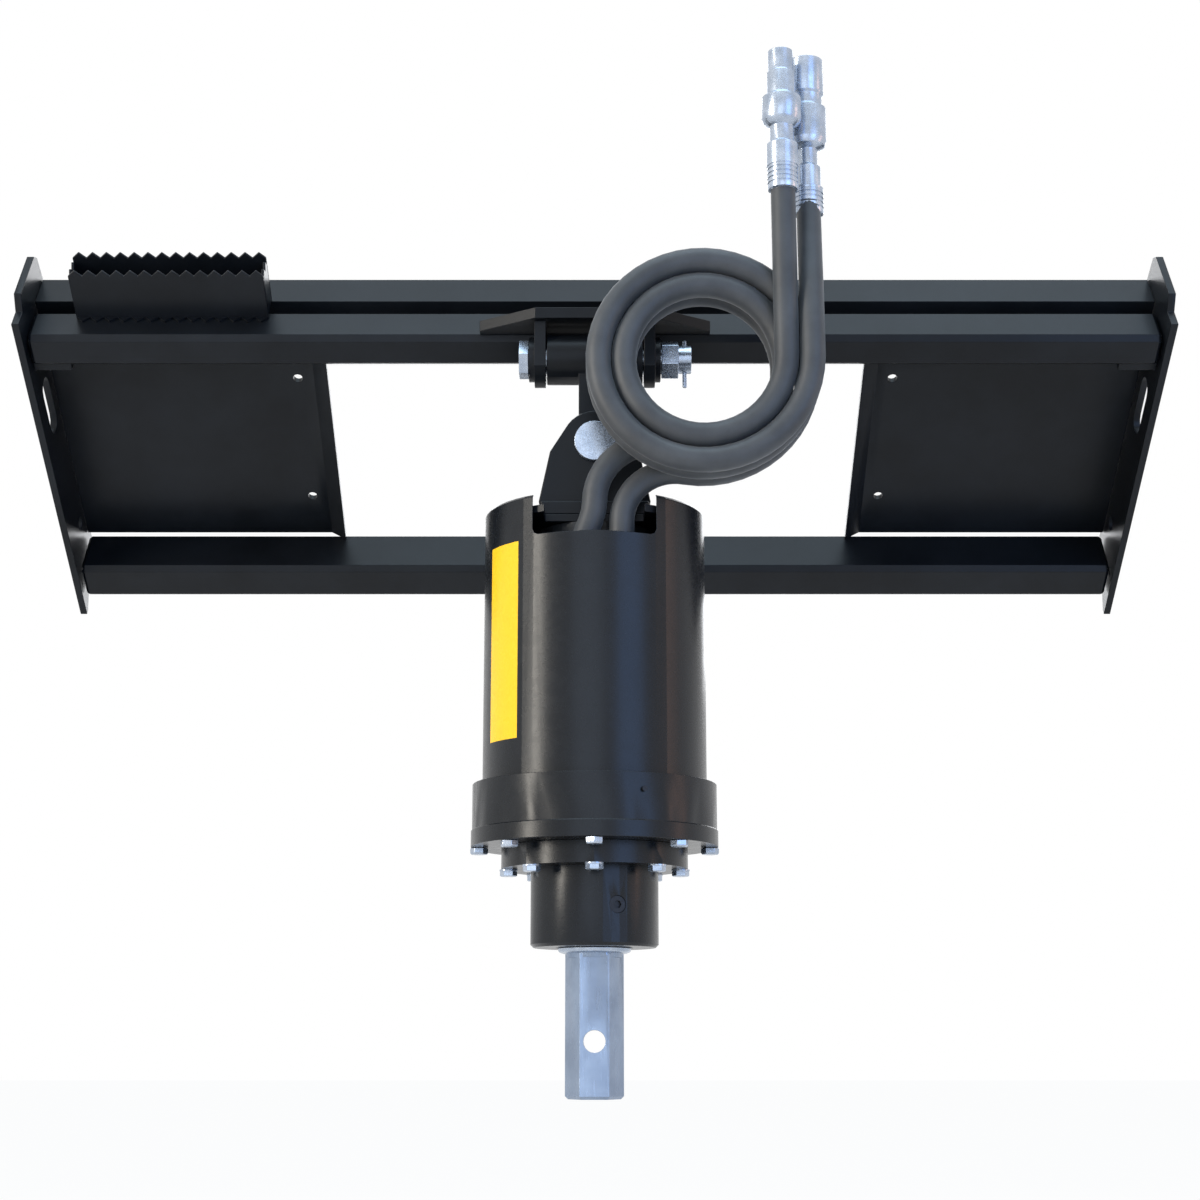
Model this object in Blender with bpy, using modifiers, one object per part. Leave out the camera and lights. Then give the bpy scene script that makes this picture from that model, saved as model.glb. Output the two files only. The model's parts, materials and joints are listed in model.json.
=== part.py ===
"""Earth auger drive on a loader frame: a hydraulic planetary drive hung from a two-pin hitch.

Metres, +Z up. The frame runs along X and faces -Y. The drive hangs plumb along Z.
The origin is on the loader side of the hook rail, where the loader holds the part.
"""
import math

import bmesh
import bpy
from mathutils import Matrix, Vector

COLLECTION = "earth_auger_drive"
GAP = 0.0003            # clearance between touching pieces
OVERRUN = 0.004         # how far a cutter passes the face it cuts
MERGE = 0.00001
ROUND_STEPS = 40        # facets of a large turned piece
SMALL_STEPS = 24        # facets of a small turned piece

# Loader frame, in its own axes: n out of its front face, u up along its face
FRAME_WIDTH = 1.250
FRAME_LEAN = math.radians(55.6)
PIVOT_TO_FACE = 0.036       # hitch pin to the front face of the top rail
PIVOT_BELOW_RAIL = 0.003    # hitch pin below the top of the rail, along the face
END_PLATE = 0.008
RAIL_HEIGHT = 0.040
RAIL_DEPTH = 0.050
RAIL_WALL = 0.004
RAIL_ROUND = 0.006
HOOK_GAP = 0.013            # groove between the top rail and the hook rail
HOOK_DEPTH = 0.042
HOOK_RISE = 0.003
HOOK_WALL = 0.008
HOOK_LEG = 0.048
SILL_HEIGHT = 0.048
SILL_DEPTH = 0.064
SILL_DROP = 0.386           # from the top rail's top to the sill's underside
TIP_DROP = 0.022            # end plate below the sill
END_TOP_RISE = 0.022
END_CREST_RISE = 0.040
END_PROUD = 0.006
END_SHOULDER = 0.032         # where the crest's back slope ends, above the rail
END_EDGE = 0.004             # plate past the rails and panels behind it
WINDOW_HALF = 0.302
PANEL_WALL = 0.008
PANEL_LIP = 0.018
PANEL_FOLD = 0.0126
PANEL_HOLE_SHARES = (0.20, 0.80)
PANEL_HOLE_R = 0.0055
SLOT_LENGTH = 0.074
SLOT_WIDTH = 0.028
SLOT_DROP = 0.120
SLOT_BACK = 0.035
LATCH_HOLE_R = 0.008
LATCH_BACK = 0.045
LATCH_RISE = 0.032
TAB_LENGTH = 0.042
TAB_WALL = 0.010
TAB_SETBACK = 0.008
TAB_ROUND = 0.001

# Step on the left of the top rail
STEP_FROM_END = 0.051       # inside the left end plate
STEP_LENGTH = 0.210
STEP_DEPTH = 0.030
STEP_HEIGHT = 0.062
STEP_SETBACK = 0.036
STEP_WALL = 0.003
STEP_TEETH = 14
STEP_TOOTH = 0.007

# Hitch bracket
HITCH_HALF = 0.124          # half width at the back
HITCH_NOSE_HALF = 0.063
HITCH_PLATE = 0.012
HITCH_NOSE = 0.034          # ahead of the pin
HITCH_SHELF = 0.035         # underside of the plate above the pin
EAR_THICK = 0.012
EAR_X = 0.058               # middle of an ear
EAR_FRONT = 0.027
EAR_DROP = 0.030
EAR_SHOULDER = 0.015
PIN_R = 0.015
BOSS_R = 0.024
BOSS_THICK = 0.006
PIN_HEAD_R = 0.021
PIN_HEAD = 0.010
NUT_R = 0.021
NUT_HEIGHT = 0.018
PIN_END = 0.014
COTTER_R = 0.0025
COTTER_LENGTH = 0.052
COTTER_BELOW = 0.031

# Cross link between the two pins
CROSS_DROP = 0.104          # lower pin below the upper one
LINK_EYE_R = 0.027
LINK_WALL_GAP = 0.0012
LINK_HALF = EAR_X - EAR_THICK / 2 - LINK_WALL_GAP
LOWER_EYE_HALF = 0.030
LINK_WEB_HALF = 0.017
BUSH_WALL = 0.003
RUNNING = 0.0003            # radial running clearance, more than a facet takes

# Yoke and base
YOKE_THICK = 0.012
YOKE_HALF = 0.058
YOKE_RISE = 0.065           # yoke pin above the base
YOKE_Z = -CROSS_DROP - YOKE_RISE
YOKE_TOP_R = 0.034
YOKE_SHOULDER = 0.0464
YOKE_SHOULDER_DROP = 0.010
BASE_THICK = 0.015
BASE_HALF_X = 0.056
BASE_HALF_Y = 0.052
BASE_ROUND = 0.0015
CLIP_THICK = 0.0065

# Drive housing, heights below the hitch pin
HOOD_R = 0.1145
HOOD_WALL = 0.005
HOOD_BELOW_YOKE = 0.005
HOOD_TOP = YOKE_Z - HOOD_BELOW_YOKE
HOOD_HEIGHT = 0.2825
HOOD_LIP = 0.003
SLOT_HALF = 0.062
SLOT_DEPTH = 0.042
SLOT_BOTTOM = HOOD_TOP - SLOT_DEPTH
SLOT_ROUND = 0.006
DECK_THICK = 0.008
FLANGE_TOP = HOOD_TOP - HOOD_HEIGHT
FLANGE_HEIGHT = 0.0465
FLANGE_STEP = FLANGE_TOP - FLANGE_HEIGHT
FLANGE_RIM = 0.0166
FLANGE_BOTTOM = FLANGE_STEP - FLANGE_RIM
FLANGE_R = 0.1256
FLANGE_UPPER_R = 0.1245
CASE_R = 0.1085
COVER_R = 0.0945
COVER_HEIGHT = 0.0221
COVER_BOTTOM = FLANGE_BOTTOM - COVER_HEIGHT
NOSE_R = 0.0645
NOSE_HEIGHT = 0.0779
NOSE_BOTTOM = COVER_BOTTOM - NOSE_HEIGHT
FLANGE_BOLTS = 8
FLANGE_BOLT_CIRCLE = 0.1170
COVER_BOLT_CIRCLE = 0.0870
BOLT_AF = 0.016
BOLT_HEAD = 0.0065
COVER_BOLT_AF = 0.013
COVER_BOLT_HEAD = 0.0055
PLUG_R = 0.0085
PLUG_ANGLE = math.radians(21)
PLUG_RISE = 0.0396
PLUG_Z = NOSE_BOTTOM + PLUG_RISE
PLUG_DEPTH = 0.006
PLUG_KEY_R = 0.004

# Motor
MOTOR_R = 0.060
CASE_NECK = 0.1065           # the case above its flange
MOTOR_BOTTOM = FLANGE_TOP + CASE_NECK
MOTOR_FLANGE_R = 0.078
MOTOR_FLANGE = 0.014
PORT_RISE = 0.044            # port block above the motor's foot
PORT_HEIGHT = 0.044
PORT_BOTTOM = MOTOR_BOTTOM + PORT_RISE
PORT_TOP = PORT_BOTTOM + PORT_HEIGHT
PORT_REACH = 0.095
PORT_HALF = 0.050
FITTING_R = 0.0165
FITTING_HEIGHT = 0.026

# Planetary stage
MODULE = 0.0026
SUN_TEETH = 18
PLANET_TEETH = 21
RING_TEETH = 60
PLANETS = 3
GEAR_DROP = 0.0135           # gears below the top of the flange
GEAR_TOP = FLANGE_TOP - GEAR_DROP
GEAR_WIDTH = 0.022
ADDENDUM = 0.9
DEDENDUM = 1.2
BACKLASH = 0.00045
FLANK = math.radians(20)
RING_OUTER_R = 0.0900
CASE_BORE_R = 0.0906
SUN_SHAFT_R = 0.012
PLANET_PIN_R = 0.009
CARRIER_THICK = 0.012
CARRIER_R = 0.066

# Output shaft
SHAFT_R = 0.028
BEARING_R = 0.045
BEARING_HEIGHT = 0.018
BEARING_DROP = 0.0024        # upper bearing inside the cover
UPPER_BEARING_TOP = FLANGE_BOTTOM - BEARING_DROP
SEAL_R = 0.0385
SEAL_HEIGHT = 0.012
LOWER_BEARING_TOP = NOSE_BOTTOM + SEAL_HEIGHT + BEARING_HEIGHT + GAP * 2
HEX_AF = 0.0508
HEX_LENGTH = 0.1477
HEX_END = NOSE_BOTTOM - HEX_LENGTH
HEX_CHAMFER = 0.003
HEX_HOLE_R = 0.0111
HEX_HOLE_RISE = 0.0559
HEX_HOLE_Z = HEX_END + HEX_HOLE_RISE
COLLAR_R = 0.0372
COLLAR_HEIGHT = 0.006
COLLAR_WALL = 0.0044
COLLAR_TAPER = 0.0011
COLLAR_STEP = 0.0018

# Hoses
HOSE_R = 0.0127
COIL_X = 0.111
COIL_Z = -0.040
COIL_INNER_TURN = 0.0815
COIL_OUTER_TURN = 0.1075
COIL_BACK = -0.060          # further from the pin than the shelf's nose reaches
COIL_FRONT = -0.139
RUN_Y = (-0.126, -0.095)
RUN_TOP = (0.164, 0.150)
RISE_SHARES = (0.30, 0.70)  # where a hose starts to lean and where it has leaned, up its rise
COUPLER_R = 0.0205
PLUG_HALF_LENGTH = 0.128
SOCKET_HALF_LENGTH = 0.146
PLUG_HALF_SHARES = ((0.80, 0.0), (0.80, 0.19), (0.61, 0.21), (0.61, 0.34), (0.90, 0.375), (1.0, 0.415),
                    (1.0, 0.59), (0.73, 0.62), (0.73, 0.81), (0.64, 0.82), (0.64, 1.0))
SOCKET_HALF_SHARES = ((0.66, 0.0), (0.66, 0.18), (0.51, 0.20), (0.51, 0.315), (0.90, 0.34), (1.0, 0.385),
                      (1.0, 0.63), (0.80, 0.65), (0.80, 0.725), (0.90, 0.745), (0.90, 1.0))
COUPLERS = ("left", "right")
COUPLER_APART = 0.003
COUPLER_X = (COIL_X + COIL_INNER_TURN, COIL_X + COIL_OUTER_TURN + COUPLER_APART)
HOSE_FOOT_X = (-0.015, 0.027)
HOSE_FOOT_Y = -0.082
HOSE_HEAD_X = (0.000, 0.0275)

BLACK = (0.012, 0.013, 0.015)
SATIN = (0.016, 0.018, 0.021)
RUBBER = (0.030, 0.030, 0.031)
ZINC = (0.62, 0.66, 0.72)
STEEL = (0.55, 0.57, 0.60)
IRON = (0.20, 0.20, 0.21)
BRONZE = (0.45, 0.32, 0.14)


def clear_scene():
    for old in list(bpy.data.objects):
        bpy.data.objects.remove(old)


def new_collection(name):
    made = bpy.data.collections.new(name)
    bpy.context.scene.collection.children.link(made)
    return made


clear_scene()
PARTS = new_collection(COLLECTION)
CUTTERS = new_collection("cutters")
MATERIALS = {}


def material(name, colour, roughness, metallic):
    made = bpy.data.materials.new(name)
    made.use_nodes = True
    shader = made.node_tree.nodes["Principled BSDF"]
    shader.inputs["Base Color"].default_value = (*colour, 1)
    shader.inputs["Roughness"].default_value = roughness
    shader.inputs["Metallic"].default_value = metallic
    MATERIALS[name] = made


material("black_paint", BLACK, 0.35, 0.0)
material("hood_paint", SATIN, 0.28, 0.0)
material("rubber", RUBBER, 0.55, 0.0)
material("zinc", ZINC, 0.30, 1.0)
material("steel", STEEL, 0.25, 1.0)
material("iron", IRON, 0.55, 1.0)
material("bronze", BRONZE, 0.40, 1.0)


def empty(name, parent=None, location=(0, 0, 0), rotation=(0, 0, 0)):
    made = bpy.data.objects.new(name, None)
    PARTS.objects.link(made)
    made.parent = parent
    made.location = location
    made.rotation_euler = rotation
    return made


def place(obj, slot, parent, location=(0, 0, 0), rotation=(0, 0, 0)):
    obj.data.materials.append(MATERIALS[slot])
    obj.parent = parent
    obj.location = location
    obj.rotation_euler = rotation
    return obj


def from_bmesh(name, mesh_data, collection=None):
    mesh = bpy.data.meshes.new(name)
    mesh_data.to_mesh(mesh)
    mesh_data.free()
    made = bpy.data.objects.new(name, mesh)
    (collection or PARTS).objects.link(made)
    return made


def block(name, low, high, bevel=0.0, collection=None):
    """A box between two corners, with its edges rounded."""
    mesh_data = bmesh.new()
    size = Vector(high) - Vector(low)
    middle = (Vector(high) + Vector(low)) / 2
    shape = Matrix.Translation(middle) @ Matrix.Diagonal((*size, 1))
    bmesh.ops.create_cube(mesh_data, size=1, matrix=shape)
    made = from_bmesh(name, mesh_data, collection)
    if bevel:
        add_bevel(made, bevel)
    return made


def add_bevel(obj, width, segments=1):
    bevel = obj.modifiers.new("edges", "BEVEL")
    bevel.width = width
    bevel.segments = segments
    bevel.limit_method = "ANGLE"
    bevel.angle_limit = math.radians(40)
    return obj


def cylinder(name, radius, low, high, steps=SMALL_STEPS, axis="Z", collection=None, turn=0.0):
    """A round or many-sided bar from low to high along one axis."""
    mesh_data = bmesh.new()
    bmesh.ops.create_cone(mesh_data, cap_ends=True, segments=steps, radius1=radius,
                          radius2=radius, depth=abs(high - low),
                          matrix=Matrix.Rotation(turn, 4, "Z"))
    bmesh.ops.translate(mesh_data, vec=(0, 0, (low + high) / 2), verts=mesh_data.verts)
    turns = {"X": Matrix.Rotation(math.pi / 2, 4, "Y"), "Y": Matrix.Rotation(-math.pi / 2, 4, "X")}
    if axis in turns:
        bmesh.ops.transform(mesh_data, matrix=turns[axis], verts=mesh_data.verts)
    made = from_bmesh(name, mesh_data, collection)
    return shade(made)


def shade(obj):
    obj.data.shade_smooth()
    obj.data.set_sharp_from_angle(angle=math.radians(30))
    return obj


def turned(name, profile, steps=ROUND_STEPS, closed=True, collection=None):
    """A profile of (radius, height) points, down its outer side, turned round Z."""
    mesh_data = bmesh.new()
    points = [mesh_data.verts.new((radius, 0, height)) for radius, height in profile]
    pairs = zip(points, points[1:] + points[:1]) if closed else zip(points, points[1:])
    for first, second in pairs:
        mesh_data.edges.new((first, second))
    made = from_bmesh(name, mesh_data, collection)
    screw = made.modifiers.new("turn", "SCREW")
    screw.steps = steps
    screw.render_steps = steps
    screw.use_merge_vertices = True
    screw.merge_threshold = MERGE
    screw.use_smooth_shade = True
    return made


def ring(name, outer, inner, top, bottom, steps=ROUND_STEPS):
    return turned(name, [(outer, top), (outer, bottom), (inner, bottom), (inner, top)], steps)


def plate(name, outline, thickness, holes=(), collection=None):
    """A flat outline in XY with holes, as thick as asked, centred on Z = 0."""
    curve = bpy.data.curves.new(name, "CURVE")
    curve.dimensions = "2D"
    curve.fill_mode = "BOTH"
    curve.extrude = thickness / 2
    for points in (outline, *holes):
        spline = curve.splines.new("POLY")
        spline.points.add(len(points) - 1)
        for point, (x, y) in zip(spline.points, points):
            point.co = (x, y, 0, 1)
        spline.use_cyclic_u = True
    flat = bpy.data.objects.new(name + "_outline", curve)
    PARTS.objects.link(flat)
    return solid_of(flat, name, collection)


def solid_of(obj, name, collection=None):
    """The curve's evaluated mesh with its caps welded, as a new object."""
    bpy.context.view_layer.update()
    graph = bpy.context.evaluated_depsgraph_get()
    mesh = bpy.data.meshes.new_from_object(obj.evaluated_get(graph))
    mesh.materials.clear()
    mesh_data = bmesh.new()
    mesh_data.from_mesh(mesh)
    bmesh.ops.remove_doubles(mesh_data, verts=mesh_data.verts, dist=MERGE)
    bmesh.ops.dissolve_degenerate(mesh_data, edges=mesh_data.edges, dist=MERGE)
    bmesh.ops.recalc_face_normals(mesh_data, faces=mesh_data.faces)
    mesh_data.to_mesh(mesh)
    mesh_data.free()
    made = bpy.data.objects.new(name, mesh)
    made.matrix_world = obj.matrix_world.copy()
    (collection or PARTS).objects.link(made)
    curve = obj.data
    bpy.data.objects.remove(obj)
    bpy.data.curves.remove(curve)
    return made


def boolean(obj, cutter, operation="DIFFERENCE"):
    """Cuts or joins with a second object, which stays as a hidden guide."""
    cutter.hide_render = True
    cutter.display_type = "WIRE"
    cutter.parent = obj.parent
    step = obj.modifiers.new(operation.lower(), "BOOLEAN")
    step.operation = operation
    step.object = cutter
    step.solver = "EXACT"
    return obj


def arc(centre, radius, start, end, count):
    """Points along an arc in degrees, both ends included."""
    step = math.radians(end - start) / count
    first = math.radians(start)
    return [(centre[0] + radius * math.cos(first + step * i),
             centre[1] + radius * math.sin(first + step * i)) for i in range(count + 1)]


def circle(centre, radius, count=16):
    return arc(centre, radius, 0, 360, count)[:-1]


def slot_outline(centre, length, width):
    """An upright slot with round ends."""
    rise = (length - width) / 2
    top = arc((centre[0], centre[1] + rise), width / 2, 0, 180, 6)
    return top + arc((centre[0], centre[1] - rise), width / 2, 180, 360, 6)


# Every piece of the frame stands in axes of its own: X along, Y backwards, Z up its face.
RAIL_BACK = RAIL_DEPTH
HOOK_FRONT = RAIL_DEPTH + HOOK_GAP
HOOK_BACK = HOOK_FRONT + HOOK_DEPTH
INNER_HALF = FRAME_WIDTH / 2 - END_PLATE
SILL_TOP = SILL_HEIGHT - SILL_DROP


def lean(y, z):
    """A point of the frame's own axes, turned to world axes."""
    turn = Matrix.Rotation(FRAME_LEAN, 3, "X")
    return turn @ Vector((0, y, z))


ORIGIN_FACE = (HOOK_BACK, HOOK_RISE - HOOK_WALL / 2)
FRAME_AT = -lean(*ORIGIN_FACE)
PIVOT_AT = FRAME_AT + lean(-PIVOT_TO_FACE, -PIVOT_BELOW_RAIL)

frame_axes = empty("frame_axes", None, FRAME_AT, (FRAME_LEAN, 0, 0))
hitch_axes = empty("hitch_axes", None, PIVOT_AT)
link_axes = empty("link_axes", None, PIVOT_AT)
drive_axes = empty("drive_axes", None, PIVOT_AT)
output_axes = empty("output_axes", None, PIVOT_AT)


def from_frame(y, z):
    """A point of the frame's own axes as (y, z) from the hitch pin."""
    world = lean(y, z) + FRAME_AT - PIVOT_AT
    return world.y, world.z


def make_rails():
    """The three long members of the frame."""
    half = INNER_HALF - GAP
    rail = block("top_front_rail", (-half, 0, -RAIL_HEIGHT), (half, RAIL_DEPTH, 0), RAIL_ROUND)
    place(rail, "black_paint", frame_axes)
    bore = block("rail_bore", (-half - OVERRUN, RAIL_WALL, RAIL_WALL - RAIL_HEIGHT),
                 (half + OVERRUN, RAIL_DEPTH - RAIL_WALL, -RAIL_WALL), 0, CUTTERS)
    boolean(rail, bore)

    outline = [(HOOK_FRONT, HOOK_RISE), (HOOK_BACK, HOOK_RISE),
               (HOOK_BACK, HOOK_RISE - HOOK_WALL),
               (HOOK_FRONT + HOOK_WALL, HOOK_RISE - HOOK_WALL),
               (HOOK_FRONT + HOOK_WALL, HOOK_RISE - HOOK_LEG), (HOOK_FRONT, HOOK_RISE - HOOK_LEG)]
    hook = plate("hook_rail", outline, half * 2)
    place(hook, "black_paint", frame_axes, rotation=(math.pi / 2, 0, math.pi / 2))

    sill = block("bottom_rail", (-half, 0, -SILL_DROP), (half, SILL_DEPTH - GAP, SILL_TOP),
                 RAIL_ROUND)
    place(sill, "black_paint", frame_axes)
    sill_bore = block("sill_bore", (-half - OVERRUN, RAIL_WALL, RAIL_WALL - SILL_DROP),
                      (half + OVERRUN, SILL_DEPTH - RAIL_WALL, SILL_TOP - RAIL_WALL), 0, CUTTERS)
    boolean(sill, sill_bore)


def make_end_plate(side, name):
    """A side plate with a hand slot, cut to the frame's profile."""
    back = HOOK_BACK + END_EDGE
    low_back = SILL_DEPTH + PANEL_WALL + END_EDGE
    outline = [(-END_PROUD, END_TOP_RISE), (-END_PROUD, -SILL_DROP - TIP_DROP),
               (0, -SILL_DROP - TIP_DROP), (low_back / 3, -SILL_DROP - END_EDGE),
               (low_back, -SILL_DROP), (low_back, -SLOT_DROP * 2), (back, -SLOT_DROP),
               (back, HOOK_RISE), (back - END_EDGE, END_SHOULDER),
               (back - HOOK_DEPTH / 3, END_CREST_RISE), (RAIL_BACK / 2, END_CREST_RISE),
               (RAIL_BACK / 3, END_TOP_RISE)]
    slot = slot_outline((SLOT_BACK, -SLOT_DROP), SLOT_LENGTH, SLOT_WIDTH)
    latch = circle((LATCH_BACK, SILL_TOP + LATCH_RISE), LATCH_HOLE_R)
    made = plate(name, outline, END_PLATE, (slot, latch))
    x = side * (FRAME_WIDTH - END_PLATE) / 2
    place(made, "black_paint", frame_axes, (x, 0, 0), (math.pi / 2, 0, math.pi / 2))


def make_panel(side, name):
    """A back panel between hook rail and sill, with its window edge folded forwards."""
    outer = INNER_HALF - GAP
    top = HOOK_RISE - HOOK_LEG - GAP
    fold = WINDOW_HALF + PANEL_LIP
    back = SILL_DEPTH + PANEL_WALL
    outline = [(outer, SILL_DEPTH), (outer, back), (fold, back),
               (WINDOW_HALF, back - PANEL_FOLD), (WINDOW_HALF, SILL_DEPTH - PANEL_FOLD),
               (fold, SILL_DEPTH)]
    if side < 0:
        outline = [(-x, y) for x, y in reversed(outline)]
    height = top - SILL_TOP - GAP
    made = plate(name, outline, height)
    place(made, "black_paint", frame_axes, (0, 0, top - height / 2))
    for index, drop in enumerate(PANEL_HOLE_SHARES):
        hole = cylinder(f"{name}_hole_{index}", PANEL_HOLE_R, SILL_DEPTH - OVERRUN,
                        back + OVERRUN, 12, "Y", CUTTERS)
        hole.location = (side * (fold + PANEL_LIP), 0, top - height * drop)
        boolean(made, hole)
        hole.parent = frame_axes


def make_tab(side, name):
    """A short tie between an end plate and the top rail."""
    outer = INNER_HALF - GAP
    low, high = sorted((side * outer, side * (outer - TAB_LENGTH)))
    tab = block(name, (low, TAB_SETBACK, -RAIL_HEIGHT - TAB_WALL - GAP),
                (high, RAIL_DEPTH, -RAIL_HEIGHT - GAP), TAB_ROUND)
    place(tab, "black_paint", frame_axes)


def serrated(length, height, teeth, tooth):
    """An outline with saw teeth along its upper edge, its lower left corner at (0, 0)."""
    pitch = length / teeth
    top = []
    for index in range(teeth):
        top += [(index * pitch, height - tooth), ((index + 0.5) * pitch, height)]
    top.append((length, height - tooth))
    return [(0, 0), *top, (length, 0)]


def make_step():
    """Four toothed strips, welded to a ring on the top rail."""
    left = STEP_FROM_END - INNER_HALF
    strips = (("step_front_strip", STEP_SETBACK), ("step_back_strip", STEP_SETBACK + STEP_DEPTH))
    for name, y in strips:
        strip = plate(name, serrated(STEP_LENGTH, STEP_HEIGHT, STEP_TEETH, STEP_TOOTH), STEP_WALL)
        seat = GAP if name == "step_front_strip" else HOOK_RISE + GAP
        place(strip, "black_paint", frame_axes, (left, y, seat), (math.pi / 2, 0, 0))
    inner = STEP_DEPTH - STEP_WALL - GAP * 2
    for name, x in (("step_left_strip", left + STEP_WALL / 2),
                    ("step_right_strip", left + STEP_LENGTH - STEP_WALL / 2)):
        strip = plate(name, serrated(inner, STEP_HEIGHT - STEP_TOOTH, 2, STEP_TOOTH), STEP_WALL)
        seat = (x, STEP_SETBACK + STEP_WALL / 2 + GAP, HOOK_RISE + GAP)
        place(strip, "black_paint", frame_axes, seat, (math.pi / 2, 0, math.pi / 2))


def make_hitch():
    """The bracket: a shelf with swept wings, two ears, and the pin with its nut."""
    top_edge_y, top_edge_z = from_frame(0, 0)
    back = top_edge_y + (HITCH_SHELF - top_edge_z) / math.tan(FRAME_LEAN) - GAP * 2
    outline = [(-HITCH_HALF, back), (-HITCH_HALF, back - HITCH_PLATE), (-HITCH_NOSE_HALF, -HITCH_NOSE),
               (HITCH_NOSE_HALF, -HITCH_NOSE), (HITCH_HALF, back - HITCH_PLATE), (HITCH_HALF, back)]
    shelf = plate("hitch_shelf", outline, HITCH_PLATE)
    place(shelf, "black_paint", hitch_axes, (0, 0, HITCH_SHELF + HITCH_PLATE / 2))
    cutter = block("shelf_cutter", (-HITCH_HALF - OVERRUN, -GAP, -RAIL_HEIGHT - OVERRUN),
                   (HITCH_HALF + OVERRUN, HOOK_BACK, GAP), 0, CUTTERS)
    boolean(shelf, cutter)
    cutter.parent = frame_axes

    for side, name in ((-1, "hitch_ear_left"), (1, "hitch_ear_right")):
        foot = from_frame(-GAP * 2, -RAIL_HEIGHT)
        edge = from_frame(-GAP * 2, 0)
        outline = [(-EAR_FRONT, HITCH_SHELF - GAP), (-EAR_FRONT, -EAR_SHOULDER)]
        outline += arc((0, 0), EAR_DROP, 215, 290, 6)
        outline += [foot, edge]
        outline.append((edge[0] - GAP, HITCH_SHELF - GAP))
        ear = plate(name, outline, EAR_THICK)
        place(ear, "black_paint", hitch_axes, (side * EAR_X, 0, 0), (math.pi / 2, 0, math.pi / 2))
        outer = EAR_THICK / 2
        boss = cylinder(f"{name}_boss", BOSS_R, -outer, outer + BOSS_THICK, SMALL_STEPS,
                        collection=CUTTERS)
        boss.parent = hitch_axes
        boss.location = (side * EAR_X, 0, 0)
        boss.rotation_euler = (0, side * math.pi / 2, 0)
        boolean(ear, boss, "UNION")
        boss.parent = hitch_axes
        bore = cylinder(f"{name}_bore", PIN_R + RUNNING * 2, -EAR_THICK, EAR_THICK + BOSS_THICK,
                        SMALL_STEPS, collection=CUTTERS)
        boolean(ear, bore)
        bore.parent = hitch_axes
        bore.location = (side * EAR_X, 0, 0)
        bore.rotation_euler = (0, side * math.pi / 2, 0)

    reach = EAR_X + EAR_THICK / 2 + BOSS_THICK + GAP * 2
    pin_end = reach + NUT_HEIGHT + PIN_END
    pin = cylinder("hitch_pin", PIN_R, -reach - PIN_HEAD, pin_end, SMALL_STEPS, "X")
    place(pin, "zinc", hitch_axes)
    head = cylinder("pin_head", PIN_HEAD_R, -reach - PIN_HEAD, -reach, 6, "X", CUTTERS)
    boolean(pin, head, "UNION")
    head.parent = hitch_axes
    nut_bore = circle((0, 0), PIN_R + GAP, SMALL_STEPS)
    nut = plate("hitch_pin_nut", circle((0, 0), NUT_R, 6), NUT_HEIGHT, (nut_bore,))
    place(nut, "zinc", hitch_axes, (reach + GAP + NUT_HEIGHT / 2, 0, 0), (0, math.pi / 2, 0))
    hole = cylinder("cotter_hole", COTTER_R + GAP, -PIN_R - OVERRUN, PIN_R + OVERRUN, 10, "Z", CUTTERS)
    cotter_x = reach + NUT_HEIGHT + PIN_END / 2
    hole.location = (cotter_x, 0, 0)
    boolean(pin, hole)
    hole.parent = hitch_axes
    cotter = cylinder("hitch_cotter", COTTER_R, -COTTER_BELOW, COTTER_LENGTH - COTTER_BELOW, 10)
    place(cotter, "zinc", hitch_axes, (cotter_x, 0, 0))


def make_link():
    """The cross link: one eye across for the hitch pin, one fore and aft for the yoke pin."""
    bush_r = PIN_R + BUSH_WALL
    upper = cylinder("cross_link", LINK_EYE_R, -LINK_HALF, LINK_HALF, 24, "X")
    place(upper, "black_paint", link_axes)
    lower = cylinder("link_lower_eye", LINK_EYE_R, -LOWER_EYE_HALF, LOWER_EYE_HALF, 24, "Y", CUTTERS)
    lower.location = (0, 0, -CROSS_DROP)
    boolean(upper, lower, "UNION")
    web = block("link_web", (-LINK_WEB_HALF, -LINK_WEB_HALF, -CROSS_DROP),
                (LINK_WEB_HALF, LINK_WEB_HALF, 0), 0, CUTTERS)
    boolean(upper, web, "UNION")
    bore = cylinder("link_upper_bore", bush_r + GAP, -LINK_HALF - OVERRUN, LINK_HALF + OVERRUN,
                    24, "X", CUTTERS)
    boolean(upper, bore)
    lower_bore = cylinder("link_lower_bore", bush_r + GAP, -LOWER_EYE_HALF - OVERRUN,
                          LOWER_EYE_HALF + OVERRUN, 24, "Y", CUTTERS)
    lower_bore.location = (0, 0, -CROSS_DROP)
    boolean(upper, lower_bore)
    for cutter in (lower, web, bore, lower_bore):
        cutter.parent = link_axes
    top_bush = ring("upper_bush", bush_r, PIN_R + RUNNING, LINK_HALF, -LINK_HALF, 24)
    place(top_bush, "bronze", link_axes, (0, 0, 0), (0, math.pi / 2, 0))
    low_bush = ring("lower_bush", bush_r, PIN_R + RUNNING, LOWER_EYE_HALF, -LOWER_EYE_HALF, 24)
    place(low_bush, "bronze", link_axes, (0, 0, -CROSS_DROP), (math.pi / 2, 0, 0))


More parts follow.
